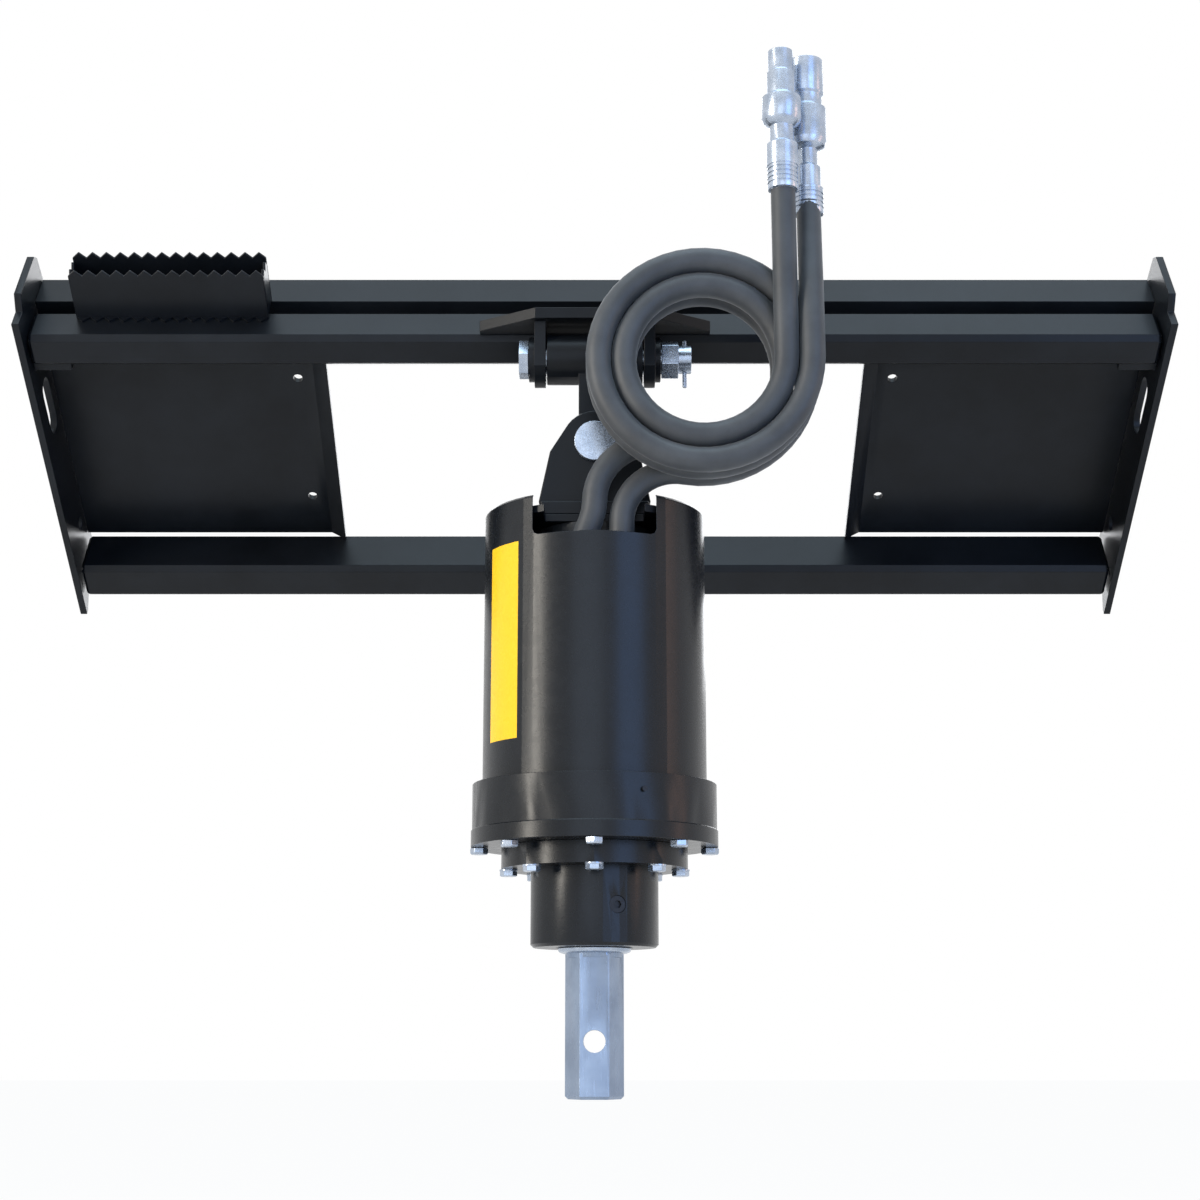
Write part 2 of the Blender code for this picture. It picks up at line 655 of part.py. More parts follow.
def make_yoke():
    """Two shaped plates on a base, with the fore and aft pin through them."""
    inner = LOWER_EYE_HALF + LINK_WALL_GAP
    shoulder_z = -CROSS_DROP - YOKE_SHOULDER_DROP
    for side, name in ((-1, "yoke_plate_front"), (1, "yoke_plate_back")):
        outline = [(-YOKE_HALF, YOKE_Z + GAP), (YOKE_HALF, YOKE_Z + GAP),
                   (YOKE_SHOULDER, shoulder_z)]
        outline += arc((0, -CROSS_DROP), YOKE_TOP_R, 35, 145, 10)
        outline.append((-YOKE_SHOULDER, shoulder_z))
        hole = circle((0, -CROSS_DROP), PIN_R + RUNNING * 2, SMALL_STEPS)
        made = plate(name, outline, YOKE_THICK, (hole,))
        y = side * (inner + YOKE_THICK / 2)
        place(made, "black_paint", drive_axes, (0, y, 0), (math.pi / 2, 0, 0))
    base = block("yoke_base", (-BASE_HALF_X, -BASE_HALF_Y, YOKE_Z - BASE_THICK),
                 (BASE_HALF_X, BASE_HALF_Y, YOKE_Z), BASE_ROUND)
    place(base, "black_paint", drive_axes)
    reach = inner + YOKE_THICK + GAP
    pin = cylinder("yoke_pin", PIN_R, -reach - CLIP_THICK, reach + CLIP_THICK, SMALL_STEPS, "Y")
    place(pin, "zinc", drive_axes, (0, 0, -CROSS_DROP))
    head = cylinder("yoke_pin_head", PIN_HEAD_R, -reach - CLIP_THICK, -reach, SMALL_STEPS, "Y", CUTTERS)
    boolean(pin, head, "UNION")
    head.location = (0, 0, -CROSS_DROP)
    head.parent = drive_axes
    clip = ring("yoke_pin_clip", PIN_HEAD_R, PIN_R + GAP, CLIP_THICK, 0, 20)
    place(clip, "zinc", drive_axes, (0, reach, -CROSS_DROP), (-math.pi / 2, 0, 0))


def make_hood():
    """The round hood with its front opening, and the deck that carries the yoke base."""
    inner = HOOD_R - HOOD_WALL
    bottom = FLANGE_TOP + GAP
    profile = [(HOOD_R - HOOD_LIP, HOOD_TOP), (HOOD_R, HOOD_TOP - HOOD_LIP), (HOOD_R, bottom),
               (inner, bottom), (inner, HOOD_TOP - HOOD_LIP), (inner + GAP, HOOD_TOP)]
    hood = turned("motor_hood", profile, 56)
    place(hood, "hood_paint", drive_axes)
    cutter = block("hood_slot", (-SLOT_HALF, -HOOD_R - OVERRUN, SLOT_BOTTOM),
                   (SLOT_HALF, 0, HOOD_TOP + OVERRUN), 0, CUTTERS)
    add_bevel(cutter, SLOT_ROUND, 2)
    boolean(hood, cutter)
    cutter.parent = drive_axes
    deck_r = inner - GAP
    notch = PORT_HALF + GAP
    front = BASE_HALF_Y + OVERRUN
    start = math.degrees(math.asin(notch / deck_r))
    outline = arc((0, 0), deck_r, start - 90, 270 - start, 40) + [(-notch, -front), (notch, -front)]
    deck = plate("hood_deck", outline, DECK_THICK)
    deck_z = YOKE_Z - BASE_THICK - GAP - DECK_THICK / 2
    place(deck, "black_paint", drive_axes, (0, 0, deck_z))


def make_motor():
    """The hydraulic motor under the deck, with its port block and hose fittings."""
    top = YOKE_Z - BASE_THICK - GAP * 2 - DECK_THICK
    profile = [(0, top), (MOTOR_R, top), (MOTOR_R, MOTOR_BOTTOM + MOTOR_FLANGE),
               (MOTOR_FLANGE_R, MOTOR_BOTTOM + MOTOR_FLANGE), (MOTOR_FLANGE_R, MOTOR_BOTTOM),
               (0, MOTOR_BOTTOM)]
    motor = turned("hydraulic_motor", profile, 32, closed=False)
    place(motor, "iron", drive_axes)
    ports = block("port_block", (-PORT_HALF, -PORT_REACH, PORT_BOTTOM),
                  (PORT_HALF, 0, PORT_TOP), 0, CUTTERS)
    boolean(motor, ports, "UNION")
    ports.parent = drive_axes
    for index, side in enumerate(COUPLERS):
        x = HOSE_FOOT_X[index]
        fitting = ring(f"motor_fitting_{side}", FITTING_R, FITTING_R / 2,
                       PORT_TOP + FITTING_HEIGHT, PORT_TOP + GAP, 16)
        place(fitting, "zinc", drive_axes, (x, HOSE_FOOT_Y, 0))


def make_gear_case():
    """The case with its bolting flange, the bearing cover and the flange bolts."""
    top = MOTOR_BOTTOM - GAP
    bore = CASE_BORE_R
    ceiling = GEAR_TOP + GEAR_WIDTH / 2
    profile = [(SUN_SHAFT_R * 2, top), (CASE_R, top), (CASE_R, FLANGE_TOP),
               (FLANGE_UPPER_R, FLANGE_TOP), (FLANGE_UPPER_R, FLANGE_STEP), (FLANGE_R, FLANGE_STEP - GAP),
               (FLANGE_R, FLANGE_BOTTOM),
               (bore, FLANGE_BOTTOM), (bore, ceiling), (SUN_SHAFT_R * 2, ceiling)]
    case = turned("gear_case", profile, 56)
    place(case, "hood_paint", drive_axes)
    cover_top = FLANGE_BOTTOM - GAP
    profile = [(COVER_R, cover_top), (COVER_R, COVER_BOTTOM), (NOSE_R, COVER_BOTTOM),
               (NOSE_R, NOSE_BOTTOM + HEX_CHAMFER), (NOSE_R - HEX_CHAMFER, NOSE_BOTTOM),
               (SEAL_R + GAP, NOSE_BOTTOM),
               (SEAL_R + GAP, NOSE_BOTTOM + SEAL_HEIGHT + GAP),
               (BEARING_R + GAP, NOSE_BOTTOM + SEAL_HEIGHT + GAP),
               (BEARING_R + GAP, cover_top)]
    cover = turned("bearing_cover", profile, 48)
    place(cover, "hood_paint", drive_axes)
    pocket = cylinder("plug_pocket", PLUG_R + GAP, NOSE_R - PLUG_DEPTH, NOSE_R + OVERRUN, 16, "X",
                      CUTTERS)
    pocket.rotation_euler = (0, 0, PLUG_ANGLE - math.pi / 2)
    pocket.location = (0, 0, PLUG_Z)
    boolean(cover, pocket)
    pocket.parent = drive_axes
    seat = NOSE_R - PLUG_DEPTH + GAP
    plug = cylinder("oil_plug", PLUG_R, seat, NOSE_R - GAP * 4, 16, "X")
    place(plug, "steel", drive_axes, (0, 0, PLUG_Z), (0, 0, PLUG_ANGLE - math.pi / 2))
    key = cylinder("plug_key", PLUG_KEY_R, seat + PLUG_DEPTH / 3, NOSE_R + OVERRUN, 6, "X", CUTTERS)
    key.location = plug.location
    key.rotation_euler = plug.rotation_euler
    boolean(plug, key)
    key.parent = drive_axes
    make_bolts("flange_bolt", FLANGE_BOLT_CIRCLE, FLANGE_BOTTOM, BOLT_AF, BOLT_HEAD)
    make_bolts("cover_bolt", COVER_BOLT_CIRCLE, COVER_BOTTOM, COVER_BOLT_AF, COVER_BOLT_HEAD, cover)


def make_bolts(name, circle_r, face, across_flats, head, carrier=None):
    """A circle of hexagon heads under one face, each its own piece or joined to the carrier."""
    seat = face - GAP if carrier is None else face + OVERRUN
    corner = across_flats / math.sqrt(3)
    low = face - GAP - head
    for index in range(FLANGE_BOLTS):
        angle = math.tau * index / FLANGE_BOLTS - math.pi / 2
        profile = [(0, seat), (corner, seat), (corner, low + head / 4), (across_flats / 2, low),
                   (0, low)]
        bolt = turned(f"{name}_{index + 1}", profile, 6, closed=False,
                      collection=None if carrier is None else CUTTERS)
        bolt.modifiers["turn"].use_smooth_shade = False
        spot = (circle_r * math.cos(angle), circle_r * math.sin(angle), 0)
        if carrier is None:
            place(bolt, "zinc", drive_axes, spot, (0, 0, angle))
            continue
        bolt.location = spot
        bolt.rotation_euler = (0, 0, angle)
        boolean(carrier, bolt, "UNION")
        bolt.parent = drive_axes


def gear_outline(teeth, inward=False, phase=0.0):
    """Straight-flanked teeth on a pitch circle; inward gives an internal gear's bore."""
    pitch_r = MODULE * teeth / 2
    sign = -1 if inward else 1
    tip_r = pitch_r + sign * ADDENDUM * MODULE
    root_r = pitch_r - sign * DEDENDUM * MODULE
    half = MODULE * math.pi / 4 - BACKLASH
    tip_half = (half - ADDENDUM * MODULE * math.tan(FLANK)) / tip_r
    root_half = (half + DEDENDUM * MODULE * math.tan(FLANK)) / root_r
    points = []
    for index in range(teeth):
        middle = math.tau * index / teeth + phase
        flanks = ((root_r, -root_half), (tip_r, -tip_half), (tip_r, tip_half), (root_r, root_half))
        for radius, angle in flanks:
            points.append((radius * math.cos(middle + angle), radius * math.sin(middle + angle)))
    return points


def make_gears():
    """Sun, planets and ring in mesh, on the carrier of the output shaft."""
    middle = GEAR_TOP - GEAR_WIDTH / 2
    ring_gear = plate("ring_gear", circle((0, 0), RING_OUTER_R, 60), GEAR_WIDTH,
                      (gear_outline(RING_TEETH, inward=True),))
    place(ring_gear, "steel", drive_axes, (0, 0, middle))
    sun = plate("sun_gear", gear_outline(SUN_TEETH), GEAR_WIDTH)
    place(sun, "steel", output_axes, (0, 0, middle))
    stem = cylinder("sun_stem", SUN_SHAFT_R, -GEAR_WIDTH / 4, MOTOR_BOTTOM - GAP * 2 - middle, 16,
                    collection=CUTTERS)
    boolean(sun, stem, "UNION")
    stem.parent = output_axes
    stem.location = (0, 0, middle)
    distance = MODULE * (SUN_TEETH + PLANET_TEETH) / 2
    for index in range(PLANETS):
        angle = math.tau * index / PLANETS + math.pi / 2
        planet = plate(f"planet_gear_{index + 1}", gear_outline(PLANET_TEETH, phase=angle + math.pi),
                       GEAR_WIDTH, (circle((0, 0), PLANET_PIN_R + RUNNING * 2, SMALL_STEPS),))
        place(planet, "steel", output_axes,
              (distance * math.cos(angle), distance * math.sin(angle), middle))


def make_output():
    """The output shaft with its carrier and hexagon, its bearings, seal and collar."""
    carrier_top = GEAR_TOP - GEAR_WIDTH - GAP * 4
    carrier_bottom = carrier_top - CARRIER_THICK
    shoulder = NOSE_BOTTOM - COLLAR_HEIGHT
    profile = [(0, carrier_top), (CARRIER_R, carrier_top), (CARRIER_R, carrier_bottom),
               (SHAFT_R, carrier_bottom), (SHAFT_R, shoulder - OVERRUN), (0, shoulder - OVERRUN)]
    shaft = turned("output_shaft", profile, 32, closed=False)
    place(shaft, "steel", output_axes)
    corner = HEX_AF / math.sqrt(3)
    profile = [(0, shoulder - GAP), (corner, shoulder - GAP),
               (corner, HEX_END + HEX_CHAMFER), (corner - HEX_CHAMFER, HEX_END), (0, HEX_END)]
    hexagon_end = turned("shaft_hexagon", profile, 6, closed=False, collection=CUTTERS)
    boolean(shaft, hexagon_end, "UNION")
    hole = cylinder("shaft_hole", HEX_HOLE_R, -HEX_AF, HEX_AF, 20, "Y", CUTTERS)
    hole.location = (0, 0, HEX_HOLE_Z)
    boolean(shaft, hole)
    distance = MODULE * (SUN_TEETH + PLANET_TEETH) / 2
    for index in range(PLANETS):
        angle = math.tau * index / PLANETS + math.pi / 2
        pin = cylinder(f"planet_pin_{index + 1}", PLANET_PIN_R, carrier_bottom + CARRIER_THICK / 2,
                       GEAR_TOP + GAP, SMALL_STEPS, collection=CUTTERS)
        pin.location = (distance * math.cos(angle), distance * math.sin(angle), 0)
        boolean(shaft, pin, "UNION")
        pin.parent = output_axes
    for cutter in (hexagon_end, hole):
        cutter.parent = output_axes
    for name, top in (("upper_bearing", UPPER_BEARING_TOP), ("lower_bearing", LOWER_BEARING_TOP)):
        bearing = ring(name, BEARING_R, SHAFT_R + RUNNING * 4, top, top - BEARING_HEIGHT, 32)
        place(bearing, "steel", drive_axes)
    seal = ring("shaft_seal", SEAL_R, SHAFT_R + GAP, NOSE_BOTTOM + SEAL_HEIGHT, NOSE_BOTTOM + GAP, 32)
    place(seal, "rubber", drive_axes)
    collar = turned("seal_collar", [(COLLAR_R, NOSE_BOTTOM - GAP),
                                    (COLLAR_R - COLLAR_TAPER, shoulder + COLLAR_STEP),
                                    (SHAFT_R + COLLAR_WALL, shoulder + GAP),
                                    (SHAFT_R + GAP * 2, shoulder + GAP),
                                    (SHAFT_R + GAP * 2, NOSE_BOTTOM - GAP)], 32)
    place(collar, "zinc", drive_axes)


def smooth_route(points, per_span):
    """Points of a Catmull-Rom curve through the route's own points."""
    spots = [Vector(point) for point in points]
    ends = [spots[0] * 2 - spots[1], *spots, spots[-1] * 2 - spots[-2]]
    made = []
    for index in range(1, len(ends) - 2):
        before, first, second, after = ends[index - 1:index + 3]
        for step in range(per_span):
            t = step / per_span
            made.append(0.5 * (2 * first + (second - before) * t
                               + (2 * before - 5 * first + 4 * second - after) * t * t
                               + (3 * first - before - 3 * second + after) * t ** 3))
    return made + [spots[-1]]


def tube(name, points, radius):
    curve = bpy.data.curves.new(name, "CURVE")
    curve.dimensions = "3D"
    curve.bevel_depth = radius
    curve.bevel_resolution = 2
    curve.use_fill_caps = True
    spline = curve.splines.new("POLY")
    spline.points.add(len(points) - 1)
    for point, spot in zip(spline.points, points):
        point.co = (*spot, 1)
    made = bpy.data.objects.new(name + "_route", curve)
    PARTS.objects.link(made)
    return solid_of(made, name)


def make_hoses():
    """Each hose from its fitting to the coil, the coil's outer shape, and the runs to the couplers."""
    start = PORT_TOP + FITTING_HEIGHT + GAP
    outer = COIL_OUTER_TURN + HOSE_R
    inner = COIL_INNER_TURN - HOSE_R
    for index, side in enumerate(COUPLERS):
        x = HOSE_FOOT_X[index]
        head_x = HOSE_HEAD_X[index]
        across = COIL_X - head_x - HOSE_R
        head_z = COIL_Z - math.sqrt(outer ** 2 - across ** 2) - GAP
        rise = head_z - start
        route = [(x, HOSE_FOOT_Y, start), (x, HOSE_FOOT_Y, start + HOSE_R),
                 (x, HOSE_FOOT_Y, start + rise * RISE_SHARES[0]),
                 (head_x, HOSE_FOOT_Y, start + rise * RISE_SHARES[1]),
                 (head_x, HOSE_FOOT_Y, head_z - HOSE_R), (head_x, HOSE_FOOT_Y, head_z)]
        lower = tube(f"hose_lower_{side}", smooth_route(route, 2), HOSE_R)
        place(lower, "rubber", drive_axes)
        top = RUN_TOP[index] - GAP
        foot = COIL_Z + math.sqrt(outer ** 2 - (COUPLER_X[index] - HOSE_R - COIL_X) ** 2) + GAP
        run_x = COUPLER_X[index]
        route = [(run_x, RUN_Y[index], foot), (run_x, RUN_Y[index], top)]
        run = tube(f"hose_upper_{side}", route, HOSE_R)
        place(run, "rubber", drive_axes)
    coil = ring("hose_coil", outer, inner, (COIL_BACK - COIL_FRONT), 0, 40)
    place(coil, "rubber", drive_axes, (COIL_X, COIL_BACK, COIL_Z), (math.pi / 2, 0, 0))


def make_couplers():
    """A plug half and a socket half of a flat-faced coupling, each on its crimped hose end."""
    halves = ((PLUG_HALF_LENGTH, PLUG_HALF_SHARES), (SOCKET_HALF_LENGTH, SOCKET_HALF_SHARES))
    for index, (side, (length, shares)) in enumerate(zip(COUPLERS, halves)):
        profile = [(COUPLER_R * across, length * along) for across, along in shares]
        points = [(0, length), *reversed(profile), (0, 0)]
        made = turned(f"hose_coupler_{side}", points, 24, closed=False)
        place(made, "zinc", drive_axes, (COUPLER_X[index], RUN_Y[index], RUN_TOP[index]))


make_rails()
for end_side, end_word in ((-1, "left"), (1, "right")):
    make_end_plate(end_side, f"end_plate_{end_word}")
    make_panel(end_side, f"side_panel_{end_word}")
    make_tab(end_side, f"corner_tab_{end_word}")
make_step()
make_hitch()
make_link()
make_yoke()
make_hood()
make_motor()
make_gear_case()
make_gears()
make_output()
make_hoses()
make_couplers()
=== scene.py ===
import json
import math

import bmesh
import bpy
from mathutils import Matrix, Vector

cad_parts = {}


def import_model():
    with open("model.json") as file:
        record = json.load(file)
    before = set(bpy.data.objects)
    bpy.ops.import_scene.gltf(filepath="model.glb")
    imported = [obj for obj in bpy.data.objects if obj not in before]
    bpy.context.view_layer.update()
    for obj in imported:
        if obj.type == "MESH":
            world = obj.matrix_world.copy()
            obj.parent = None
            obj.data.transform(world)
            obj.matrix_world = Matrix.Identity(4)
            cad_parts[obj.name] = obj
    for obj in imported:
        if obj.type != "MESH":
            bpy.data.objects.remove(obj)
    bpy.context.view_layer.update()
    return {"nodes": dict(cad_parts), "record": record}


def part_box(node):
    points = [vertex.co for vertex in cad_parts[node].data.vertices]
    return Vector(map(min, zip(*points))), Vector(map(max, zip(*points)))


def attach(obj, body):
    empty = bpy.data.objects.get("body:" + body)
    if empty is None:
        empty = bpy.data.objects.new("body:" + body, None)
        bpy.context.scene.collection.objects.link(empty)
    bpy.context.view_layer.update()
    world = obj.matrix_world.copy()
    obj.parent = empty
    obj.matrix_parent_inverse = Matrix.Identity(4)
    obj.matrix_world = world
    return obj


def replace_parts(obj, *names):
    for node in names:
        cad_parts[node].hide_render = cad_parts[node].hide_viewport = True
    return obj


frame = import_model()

RECORD = frame["record"]
NODES = frame["nodes"]
BODY_OF = {node: body for body, members in RECORD["behaviour"]["bodies"].items() for node in members}
SLOT_OF = {part["node"]: part["material_slot"] for part in RECORD["subparts"]}
PIVOT = next(Vector(joint["pos_m"]) for joint in RECORD["behaviour"]["joints"]
             if joint["name"] == "fore_aft_swing")
SIDES = ("left", "right")
MM = 0.001

# Camera, fitted to the perspective of the photograph
LENS = 61.5
SENSOR = 36.0
CAMERA_AT = (0.0055, -2.1635, -0.8306)
CAMERA_PITCH = math.radians(102.2)
CAMERA_REACH = 60

# Each lamp's name, place, width, height, power and colour
LAMPS = (("key", (-2.9, -1.7, 0.4), 0.6, 2.6, 95, (1.0, 0.94, 0.84)),
         ("sky", (0.1, -0.9, 2.6), 3.0, 2.0, 64, (0.60, 0.82, 1.0)),
         ("fill", (1.9, -2.7, 0.1), 1.6, 2.6, 34, (0.22, 0.46, 1.0)),
         ("warm", (3.3, -0.5, 0.1), 0.5, 2.2, 8, (1.0, 0.55, 0.38)),
         ("front", (-0.4, -3.5, -0.1), 1.8, 2.4, 16, (0.60, 0.76, 1.0)),
         ("rear", (0.4, 2.6, 0.9), 2.4, 1.8, 45, (0.95, 0.97, 1.0)))
LAMPS_AIM = Vector((0, -0.08, -0.35))

# The world's colours from straight down, at 0, to straight up, at 1
SKY = ((0.0, (0.16, 0.16, 0.165)), (1.0, (0.62, 0.80, 0.95)),
       (0.45, (0.26, 0.27, 0.29)), (0.62, (0.44, 0.50, 0.57)))
WHITE = (1, 1, 1, 1)
FLOOR_Z = -1.30
FLOOR_HALF = 25
FLOOR_COLOUR = (0.92, 0.91, 0.90, 1)
FLOOR_ROUGH = 0.9
FLOOR_GLOW_SHARE = 0.93

# Where a noise's middle values turn into the ends of a range
NOISE_LOW = 0.35
NOISE_HIGH = 0.65
NOISE_ROUGH = 0.6
CLOUD_DETAIL = 4
GRAIN_DETAIL = 3
EVEN = (1, 1, 1)
ALONG_Z = (1, 1, 0.05)

# Rounding of the solids' edges, with the widths in millimetres by the start of a node's name
WELD = 0.01 * MM
FLAT_WITHIN = math.radians(0.4)
SHARP_FROM = math.radians(32)
EDGE_STEPS = 2
EDGE = 0.8
EDGES = {"motor_hood": 1.2, "gear_case": 2.0, "bearing_cover": 2.5, "top_front_rail": 2.0,
         "bottom_rail": 2.0, "yoke_plate": 1.5, "seal_collar": 1.0, "hose_coupler": 0.5,
         "flange_bolt": 0.5}

# Nodes that the cords stand for, and nodes that no view shows
SOFT = {"hose_coil", "hose_lower_left", "hose_lower_right", "hose_upper_left", "hose_upper_right"}
HIDDEN = {"sun_gear", "planet_gear_1", "planet_gear_2", "planet_gear_3", "ring_gear",
          "upper_bearing", "lower_bearing", "upper_bush", "lower_bush", "shaft_seal",
          "hydraulic_motor"}

# The hood's stripe: its turn to the left of the front, and its gaps to the hood's ends
STRIPE_FROM = math.radians(42)
STRIPE_TO = math.radians(66)
STRIPE_ABOVE = 37 * MM
STRIPE_BELOW = 46 * MM
STRIPE_COLOUR = (0.86, 0.46, 0.015, 1)

# Hoses, from the hitch pin, with a pair of values for the left and the right one
HOSE_R = 12.7 * MM
HOSE_ROUNDING = 8
COIL_X = 111 * MM
COIL_Z = -40 * MM
TURNS = 2
TURNS_R = (81.5 * MM, 107.5 * MM)
ENTRY_R = (65 * MM, 55 * MM)
ENTRY_X = (0.0, 27.5 * MM)
FOOT_X = (-15 * MM, 27 * MM)
FOOT_Y = -82 * MM
FIRST_Y = (-72.8 * MM, -75.5 * MM)
LAST_Y = (-132 * MM, -134 * MM)
RUN_X = (192.5 * MM, 221.5 * MM)
RUN_Y = (-126 * MM, -95 * MM)
INTO_COUPLER = 18 * MM
FOOT_POINTS = 6
ENTRY_POINTS = 14
COIL_POINTS = 112
RUN_POINTS = 10

# Crimped sleeve, in millimetres: out from the hose's side, and up from the sleeve's lower end
SLEEVE_START = ((0.2, 0), (2.4, 1))
SLEEVE_CRIMP = ((3.0, 3), (3.0, 6), (2.2, 6.6), (2.2, 7.4))
SLEEVE_END = ((3.0, 29), (0.2, 30))
SLEEVE_CRIMPS = 5
CRIMP_PITCH = 5
SLEEVE_SIDES = 32
SLEEVE_BELOW = 26 * MM

# Bolts of the bearing cover, with their outlines in millimetres from the cover's lower face
NOSE_HEIGHT = 77.9 * MM
COVER_BOLTS = 8
COVER_CIRCLE = 87 * MM
WASHER = ((0, 0.1), (9.3, 0.1), (9.3, -1.1), (8.9, -1.5), (0, -1.5))
WASHER_SIDES = 24
HEAD = ((0, -1.4), (8.7, -1.4), (8.7, -6.0), (7.5, -6.8), (0, -6.8))
HEAD_SIDES = 6

# Painted shade for a dimple in the flange: a small black disc, with its outline in millimetres from
# the flange's side
DIMPLE = ((0, 0.15), (2.6, 0.15), (2.6, -2), (0, -2))
DIMPLE_SIDES = 20
DIMPLE_TURN = math.radians(22.5)
DIMPLE_BELOW_HOOD = 17 * MM

# Toothed foot of the step: the strip's lower front edge, and the directions up it and out from it
STEP_TEETH = 14
FOOT_AT = Vector((0, -40.9, -57.4)) * MM
FOOT_UP = Vector((0, -0.825, 0.565))
FOOT_OUT = Vector((0, -0.565, -0.825))
FOOT_FACES = (0.1 * MM, 2.1 * MM)
TOOTH_REACH = 7 * MM
TOOTH_SHARES = (0.06, 0.5, 0.94)


def link_object(name, data):
    """A new object of this data, in the scene."""
    made = bpy.data.objects.new(name, data)
    bpy.context.scene.collection.objects.link(made)
    return made


def mesh_object(name, mesh_data):
    """A new object of the bmesh, which is freed."""
    mesh = bpy.data.meshes.new(name)
    mesh_data.to_mesh(mesh)
    mesh_data.free()
    return link_object(name, mesh)


def node_graph(name):
    """A new material, its node tree and its shader."""
    made = bpy.data.materials.new(name)
    made.use_nodes = True
    tree = made.node_tree
    return made, tree, tree.nodes["Principled BSDF"]


def calc(tree, operation, first, second):
    """One step of arithmetic between sockets or numbers."""
    step = tree.nodes.new("ShaderNodeMath")
    step.operation = operation
    for socket, value in zip(step.inputs, (first, second)):
        if isinstance(value, float):
            socket.default_value = value
        else:
            tree.links.new(value, socket)
    return step.outputs["Value"]


def noise(tree, scale, detail, stretch=EVEN):
    """Noise that is fixed to the object."""
    place = tree.nodes.new("ShaderNodeTexCoord")
    shape = tree.nodes.new("ShaderNodeMapping")
    shape.inputs["Scale"].default_value = stretch
    made = tree.nodes.new("ShaderNodeTexNoise")
    made.inputs["Scale"].default_value = scale
    made.inputs["Detail"].default_value = detail
    made.inputs["Roughness"].default_value = NOISE_ROUGH
    tree.links.new(place.outputs["Object"], shape.inputs["Vector"])
    tree.links.new(shape.outputs["Vector"], made.inputs["Vector"])
    return made.outputs["Fac"]


def spread(tree, value, low, high, start=NOISE_LOW, end=NOISE_HIGH):
    """The value's stretch from start to end, as a number from low to high."""
    made = tree.nodes.new("ShaderNodeMapRange")
    made.inputs["From Min"].default_value = start
    made.inputs["From Max"].default_value = end
    made.inputs["To Min"].default_value = low
    made.inputs["To Max"].default_value = high
    tree.links.new(value, made.inputs["Value"])
    return made.outputs["Result"]


def ramp(tree, value, first, last, *others):
    """The value as a colour. Each stop is a position and a colour."""
    made = tree.nodes.new("ShaderNodeValToRGB")
    stops = made.color_ramp.elements
    for stop, (position, colour) in zip(stops, (first, last)):
        stop.position = position
        stop.color = (*colour, 1)
    for position, colour in others:
        stops.new(position).color = (*colour, 1)
    tree.links.new(value, made.inputs["Fac"])
    return made.outputs["Color"]


def relief(tree, shader, value, distance):
    """Raises the surface by the value."""
    bump = tree.nodes.new("ShaderNodeBump")
    bump.inputs["Distance"].default_value = distance
    tree.links.new(value, bump.inputs["Height"])
    tree.links.new(bump.outputs["Normal"], shader.inputs["Normal"])


def surface(name, first, second, gloss, cloud, grain, depth, metallic=0.0, level=0.5,
            stretch=EVEN, cloud_detail=CLOUD_DETAIL):
    """A coat or metal: two tones in soft clouds, an uneven gloss and a fine grain."""
    made, tree, shader = node_graph(name)
    clouds = noise(tree, cloud, cloud_detail)
    fine = noise(tree, grain, GRAIN_DETAIL, stretch)
    tones = ramp(tree, clouds, (NOISE_LOW, first), (NOISE_HIGH, second))
    tree.links.new(tones, shader.inputs["Base Color"])
    tree.links.new(spread(tree, fine, *gloss), shader.inputs["Roughness"])
    shader.inputs["Metallic"].default_value = metallic
    shader.inputs["Specular IOR Level"].default_value = level
    relief(tree, shader, fine, depth)
    return made


def hose_rubber():
    """Dark matt rubber with a fine grain and a soft sheen."""
    made = surface("hose_rubber", (0.028, 0.029, 0.031), (0.046, 0.047, 0.049), (0.46, 0.60),
                   cloud=22, grain=1300, depth=0.00005, level=0.45, cloud_detail=5)
    shader = made.node_tree.nodes["Principled BSDF"]
    shader.inputs["Sheen Weight"].default_value = 0.12
    shader.inputs["Sheen Roughness"].default_value = 0.45
    return made


POWDER = surface("powder_coat", (0.0040, 0.0048, 0.0062), (0.0072, 0.0084, 0.0105), (0.30, 0.40),
                 cloud=9, grain=900, depth=0.00004, level=0.17)
ENAMEL = surface("hood_enamel", (0.0040, 0.0050, 0.0066), (0.0065, 0.0078, 0.0100), (0.25, 0.29),
                 cloud=6, grain=90, depth=0.00001, level=0.27)
ZINC = surface("bright_zinc", (0.34, 0.39, 0.47), (0.48, 0.53, 0.61), (0.20, 0.34),
               cloud=60, grain=700, depth=0.00003, metallic=0.85)
STEEL = surface("ground_steel", (0.21, 0.26, 0.35), (0.28, 0.34, 0.44), (0.26, 0.38),
                cloud=25, grain=500, depth=0.00002, metallic=0.85, stretch=ALONG_Z)
IRON = surface("cast_iron", (0.030, 0.031, 0.033), (0.060, 0.061, 0.063), (0.45, 0.62),
               cloud=30, grain=380, depth=0.00018, metallic=0.6)
BRONZE = surface("bronze", (0.40, 0.27, 0.11), (0.52, 0.37, 0.17), (0.28, 0.42),
                 cloud=40, grain=500, depth=0.00002, metallic=1.0)
# Black of the oil plug's screw; on the flange's small disc the same black is painted shade for a
# dimple
SCREW_BLACK_AND_SHADE = surface("black_screw_and_shade", (0.004, 0.004, 0.005), (0.010, 0.010, 0.011), (0.35, 0.50),
                 cloud=80, grain=900, depth=0.00003, metallic=0.4)
RUBBER = hose_rubber()
SLOT_MATERIALS = {"black_paint": POWDER, "hood_paint": ENAMEL, "zinc": ZINC, "steel": STEEL,
                  "iron": IRON, "bronze": BRONZE, "rubber": RUBBER}


